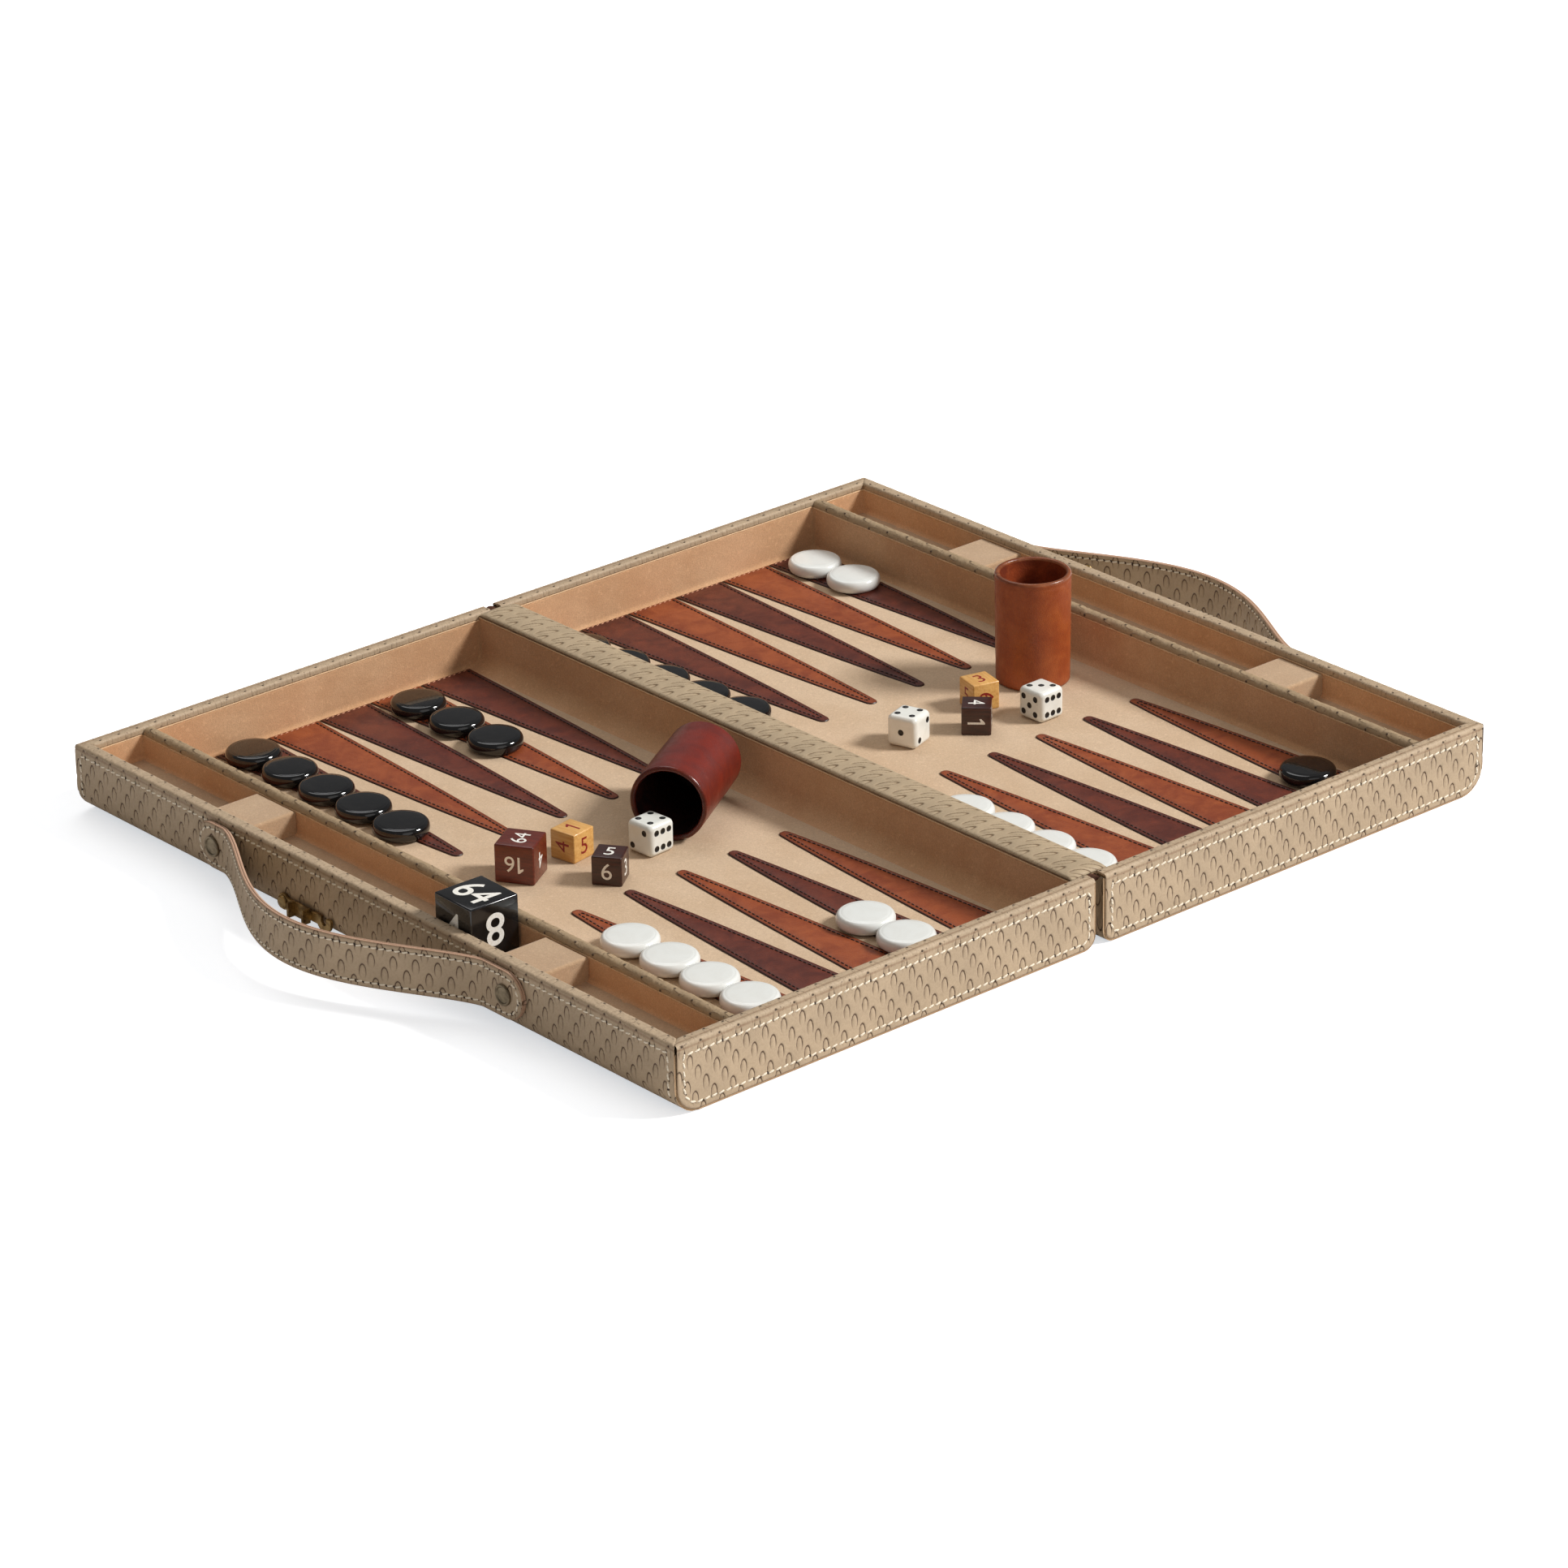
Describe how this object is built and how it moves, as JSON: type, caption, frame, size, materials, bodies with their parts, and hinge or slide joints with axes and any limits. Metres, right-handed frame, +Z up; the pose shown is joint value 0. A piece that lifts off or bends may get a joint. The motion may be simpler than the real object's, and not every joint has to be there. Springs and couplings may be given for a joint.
{
  "type": "backgammon set",
  "caption": "Leather covered folding backgammon case, open flat, with stitched points, side trays, strap handles, checkers, dice, doubling cubes and cups.",
  "frame": {"origin": "on the table, under the middle of the hinge line between the two open halves", "axes": "+X across the case towards the right half, +Y along the hinge towards the back, +Z up"},
  "size_m": [0.6058, 0.457, 0.0676],
  "materials": {
    "wood_shell": "raw",
    "leather_taupe": "embossed satin",
    "suede": "suede",
    "bronze": "dark bronze",
    "brass": "antique",
    "checker_black": "polished",
    "checker_white": "polished",
    "die_white": "polished",
    "wood_light": "varnished",
    "wood_dark": "varnished",
    "wood_red": "varnished",
    "cube_black": "polished",
    "leather_oxblood": "polished",
    "leather_tan": "polished"
  },
  "bodies": {
    "case_left": {"shell_left": "wood_shell", "cover_left": "leather_taupe", "lining_left": "suede", "field_left": "suede", "divider_left": "leather_taupe", "rivet_left_back": "bronze", "rivet_left_front": "bronze", "hinge_strip": "leather_taupe"},
    "case_right": {"shell_right": "wood_shell", "cover_right": "leather_taupe", "lining_right": "suede", "field_right": "suede", "divider_right": "leather_taupe", "rivet_right_back": "bronze", "rivet_right_front": "bronze", "latch_stud": "brass"},
    "handle_left": {"strap_left": "leather_taupe"},
    "handle_right": {"strap_right": "leather_taupe"},
    "latch": {"latch_hook": "brass"},
    "cup_standing": {"cup_standing": "leather_tan"},
    "cup_lying": {"cup_lying": "leather_oxblood"},
    "checker_black_01": {"checker_black_01": "checker_black"},
    "checker_black_02": {"checker_black_02": "checker_black"},
    "checker_black_03": {"checker_black_03": "checker_black"},
    "checker_black_04": {"checker_black_04": "checker_black"},
    "checker_black_05": {"checker_black_05": "checker_black"},
    "checker_black_06": {"checker_black_06": "checker_black"},
    "checker_black_07": {"checker_black_07": "checker_black"},
    "checker_black_08": {"checker_black_08": "checker_black"},
    "checker_black_09": {"checker_black_09": "checker_black"},
    "checker_black_10": {"checker_black_10": "checker_black"},
    "checker_black_11": {"checker_black_11": "checker_black"},
    "checker_black_12": {"checker_black_12": "checker_black"},
    "checker_black_13": {"checker_black_13": "checker_black"},
    "checker_black_14": {"checker_black_14": "checker_black"},
    "checker_black_15": {"checker_black_15": "checker_black"},
    "checker_white_01": {"checker_white_01": "checker_white"},
    "checker_white_02": {"checker_white_02": "checker_white"},
    "checker_white_03": {"checker_white_03": "checker_white"},
    "checker_white_04": {"checker_white_04": "checker_white"},
    "checker_white_05": {"checker_white_05": "checker_white"},
    "checker_white_06": {"checker_white_06": "checker_white"},
    "checker_white_07": {"checker_white_07": "checker_white"},
    "checker_white_08": {"checker_white_08": "checker_white"},
    "checker_white_09": {"checker_white_09": "checker_white"},
    "checker_white_10": {"checker_white_10": "checker_white"},
    "checker_white_11": {"checker_white_11": "checker_white"},
    "checker_white_12": {"checker_white_12": "checker_white"},
    "checker_white_13": {"checker_white_13": "checker_white"},
    "checker_white_14": {"checker_white_14": "checker_white"},
    "checker_white_15": {"checker_white_15": "checker_white"},
    "die_white_left": {"die_white_left": "die_white"},
    "die_white_middle": {"die_white_middle": "die_white"},
    "die_white_right": {"die_white_right": "die_white"},
    "die_light_left": {"die_light_left": "wood_light"},
    "die_dark_left": {"die_dark_left": "wood_dark"},
    "die_light_right": {"die_light_right": "wood_light"},
    "die_dark_right": {"die_dark_right": "wood_dark"},
    "doubling_cube_brown": {"doubling_cube_brown": "wood_red"},
    "doubling_cube_black": {"doubling_cube_black": "cube_black"}
  },
  "joints": [
    {"name": "case_fold", "type": "hinge", "parent": "case_left", "child": "case_right", "pos_m": [0, 0, 0.03615], "axis": [0, 1, 0], "range_deg": [-180, 0], "deforming": ["hinge_strip"]},
    {"name": "handle_left_swing", "type": "hinge", "parent": "case_left", "child": "handle_left", "pos_m": [-0.2626, 0, 0.021], "axis": [0, 1, 0], "range_deg": [-8, 40], "deforming": ["strap_left"]},
    {"name": "handle_right_swing", "type": "hinge", "parent": "case_right", "child": "handle_right", "pos_m": [0.2626, 0, 0.021], "axis": [0, -1, 0], "range_deg": [-8, 40], "deforming": ["strap_right"]},
    {"name": "latch_swing", "type": "hinge", "parent": "case_left", "child": "latch", "pos_m": [-0.262, 0.057, 0.01], "axis": [1, 0, 0], "range_deg": [-90, 0]},
    {"name": "cup_standing_tip", "type": "hinge", "parent": "case_right", "child": "cup_standing", "pos_m": [0.1825, 0.0316, 0.00915], "axis": [-1, 0, 0], "range_deg": [0, 90]},
    {"name": "cup_lying_lift", "type": "slide", "parent": "case_left", "child": "cup_lying", "axis": [0, 0, 1], "range_m": [0, 0.06]},
    {"name": "lift_checker_black_01", "type": "slide", "parent": "case_left", "child": "checker_black_01", "axis": [0, 0, 1], "range_m": [0, 0.04]},
    {"name": "lift_checker_black_02", "type": "slide", "parent": "case_left", "child": "checker_black_02", "axis": [0, 0, 1], "range_m": [0, 0.04]},
    {"name": "lift_checker_black_03", "type": "slide", "parent": "case_left", "child": "checker_black_03", "axis": [0, 0, 1], "range_m": [0, 0.04]},
    {"name": "lift_checker_black_04", "type": "slide", "parent": "case_left", "child": "checker_black_04", "axis": [0, 0, 1], "range_m": [0, 0.04]},
    {"name": "lift_checker_black_05", "type": "slide", "parent": "case_left", "child": "checker_black_05", "axis": [0, 0, 1], "range_m": [0, 0.04]},
    {"name": "lift_checker_black_06", "type": "slide", "parent": "case_left", "child": "checker_black_06", "axis": [0, 0, 1], "range_m": [0, 0.04]},
    {"name": "lift_checker_black_07", "type": "slide", "parent": "case_left", "child": "checker_black_07", "axis": [0, 0, 1], "range_m": [0, 0.04]},
    {"name": "lift_checker_black_08", "type": "slide", "parent": "case_left", "child": "checker_black_08", "axis": [0, 0, 1], "range_m": [0, 0.04]},
    {"name": "lift_checker_black_09", "type": "slide", "parent": "case_right", "child": "checker_black_09", "axis": [0, 0, 1], "range_m": [0, 0.04]},
    {"name": "lift_checker_black_10", "type": "slide", "parent": "case_right", "child": "checker_black_10", "axis": [0, 0, 1], "range_m": [0, 0.04]},
    {"name": "lift_checker_black_11", "type": "slide", "parent": "case_right", "child": "checker_black_11", "axis": [0, 0, 1], "range_m": [0, 0.04]},
    {"name": "lift_checker_black_12", "type": "slide", "parent": "case_right", "child": "checker_black_12", "axis": [0, 0, 1], "range_m": [0, 0.04]},
    {"name": "lift_checker_black_13", "type": "slide", "parent": "case_right", "child": "checker_black_13", "axis": [0, 0, 1], "range_m": [0, 0.04]},
    {"name": "lift_checker_black_14", "type": "slide", "parent": "case_right", "child": "checker_black_14", "axis": [0, 0, 1], "range_m": [0, 0.04]},
    {"name": "lift_checker_black_15", "type": "slide", "parent": "case_right", "child": "checker_black_15", "axis": [0, 0, 1], "range_m": [0, 0.04]},
    {"name": "lift_checker_white_01", "type": "slide", "parent": "case_left", "child": "checker_white_01", "axis": [0, 0, 1], "range_m": [0, 0.04]},
    {"name": "lift_checker_white_02", "type": "slide", "parent": "case_left", "child": "checker_white_02", "axis": [0, 0, 1], "range_m": [0, 0.04]},
    {"name": "lift_checker_white_03", "type": "slide", "parent": "case_left", "child": "checker_white_03", "axis": [0, 0, 1], "range_m": [0, 0.04]},
    {"name": "lift_checker_white_04", "type": "slide", "parent": "case_left", "child": "checker_white_04", "axis": [0, 0, 1], "range_m": [0, 0.04]},
    {"name": "lift_checker_white_05", "type": "slide", "parent": "case_left", "child": "checker_white_05", "axis": [0, 0, 1], "range_m": [0, 0.04]},
    {"name": "lift_checker_white_06", "type": "slide", "parent": "case_left", "child": "checker_white_06", "axis": [0, 0, 1], "range_m": [0, 0.04]},
    {"name": "lift_checker_white_07", "type": "slide", "parent": "case_left", "child": "checker_white_07", "axis": [0, 0, 1], "range_m": [0, 0.04]},
    {"name": "lift_checker_white_08", "type": "slide", "parent": "case_left", "child": "checker_white_08", "axis": [0, 0, 1], "range_m": [0, 0.04]},
    {"name": "lift_checker_white_09", "type": "slide", "parent": "case_right", "child": "checker_white_09", "axis": [0, 0, 1], "range_m": [0, 0.04]},
    {"name": "lift_checker_white_10", "type": "slide", "parent": "case_right", "child": "checker_white_10", "axis": [0, 0, 1], "range_m": [0, 0.04]},
    {"name": "lift_checker_white_11", "type": "slide", "parent": "case_right", "child": "checker_white_11", "axis": [0, 0, 1], "range_m": [0, 0.04]},
    {"name": "lift_checker_white_12", "type": "slide", "parent": "case_right", "child": "checker_white_12", "axis": [0, 0, 1], "range_m": [0, 0.04]},
    {"name": "lift_checker_white_13", "type": "slide", "parent": "case_right", "child": "checker_white_13", "axis": [0, 0, 1], "range_m": [0, 0.04]},
    {"name": "lift_checker_white_14", "type": "slide", "parent": "case_right", "child": "checker_white_14", "axis": [0, 0, 1], "range_m": [0, 0.04]},
    {"name": "lift_checker_white_15", "type": "slide", "parent": "case_right", "child": "checker_white_15", "axis": [0, 0, 1], "range_m": [0, 0.04]},
    {"name": "lift_die_white_left", "type": "slide", "parent": "case_left", "child": "die_white_left", "axis": [0, 0, 1], "range_m": [0, 0.05]},
    {"name": "lift_die_white_middle", "type": "slide", "parent": "case_right", "child": "die_white_middle", "axis": [0, 0, 1], "range_m": [0, 0.05]},
    {"name": "lift_die_white_right", "type": "slide", "parent": "case_right", "child": "die_white_right", "axis": [0, 0, 1], "range_m": [0, 0.05]},
    {"name": "lift_die_light_left", "type": "slide", "parent": "case_left", "child": "die_light_left", "axis": [0, 0, 1], "range_m": [0, 0.05]},
    {"name": "lift_die_dark_left", "type": "slide", "parent": "case_left", "child": "die_dark_left", "axis": [0, 0, 1], "range_m": [0, 0.05]},
    {"name": "lift_die_light_right", "type": "slide", "parent": "case_right", "child": "die_light_right", "axis": [0, 0, 1], "range_m": [0, 0.05]},
    {"name": "lift_die_dark_right", "type": "slide", "parent": "case_right", "child": "die_dark_right", "axis": [0, 0, 1], "range_m": [0, 0.05]},
    {"name": "lift_doubling_cube_brown", "type": "slide", "parent": "case_left", "child": "doubling_cube_brown", "axis": [0, 0, 1], "range_m": [0, 0.05]},
    {"name": "lift_doubling_cube_black", "type": "slide", "parent": "case_left", "child": "doubling_cube_black", "axis": [0, 0, 1], "range_m": [0, 0.05]}
  ],
  "couplings": [
    {"joint": "cup_standing_tip", "follows": "case_fold", "ratio": -0.5}
  ]
}
